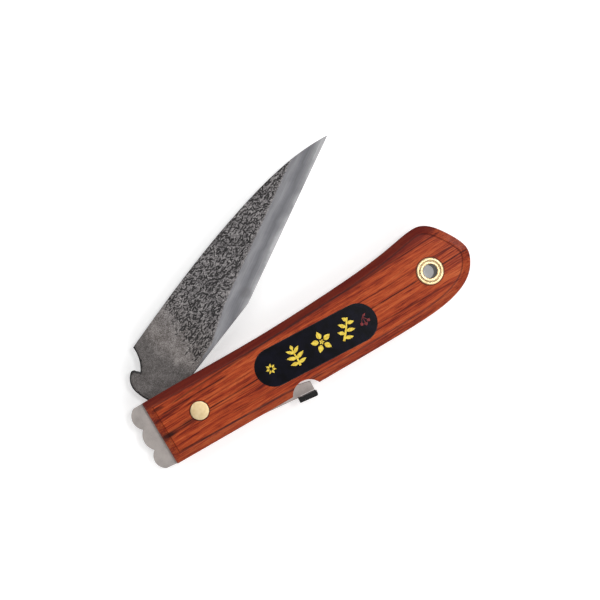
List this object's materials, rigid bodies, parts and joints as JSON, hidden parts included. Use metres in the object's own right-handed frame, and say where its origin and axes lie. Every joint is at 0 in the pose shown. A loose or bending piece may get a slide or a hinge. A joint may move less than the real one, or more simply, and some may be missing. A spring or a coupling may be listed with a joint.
{
  "type": "folding grafting knife",
  "caption": "Folding grafting knife with a hammered single-bevel blade, red-brown wooden handle, scalloped steel liners, rocker lock lever, and lanyard eyelet.",
  "frame": {"origin": "on the blade's pivot axis, at the handle's rear outer face, which the knife lies on", "axes": "+X along the handle from the pivot to the butt, +Y towards the side that the blade folds out of, +Z out of the front face"},
  "size_m": [0.1214, 0.0728, 0.0152],
  "materials": {
    "wood": "gloss",
    "liner_steel": "satin",
    "blade_steel": "satin",
    "lever_steel": "satin",
    "inner_steel": "satin",
    "brass": "satin",
    "plate_lacquer": "gloss"
  },
  "bodies": {
    "handle": {"handle_scale_front": "wood", "handle_scale_rear": "wood", "liner_front": "liner_steel", "liner_rear": "liner_steel", "back_spacer": "liner_steel", "spacer_rivets": "inner_steel", "pivot_rivet": "brass", "pivot_washer_front": "brass", "pivot_washer_rear": "brass", "eyelet": "brass", "eyelet_collar": "brass", "name_plate": "plate_lacquer", "lever_pin": "inner_steel", "lever_spring": "inner_steel"},
    "blade": {"blade": "blade_steel"},
    "lever": {"lock_lever": "lever_steel"}
  },
  "joints": [
    {"name": "blade_pivot", "type": "hinge", "parent": "handle", "child": "blade", "pos_m": [0, 0, 0.0073], "axis": [0, 0, 1], "range_deg": [-32, 142.7]},
    {"name": "lever_pivot", "type": "hinge", "parent": "handle", "child": "lever", "pos_m": [0.018, -0.008, 0.0073], "axis": [0, 0, 1], "range_deg": [-5, 6], "stiffness_Nm_per_rad": 0.8}
  ]
}
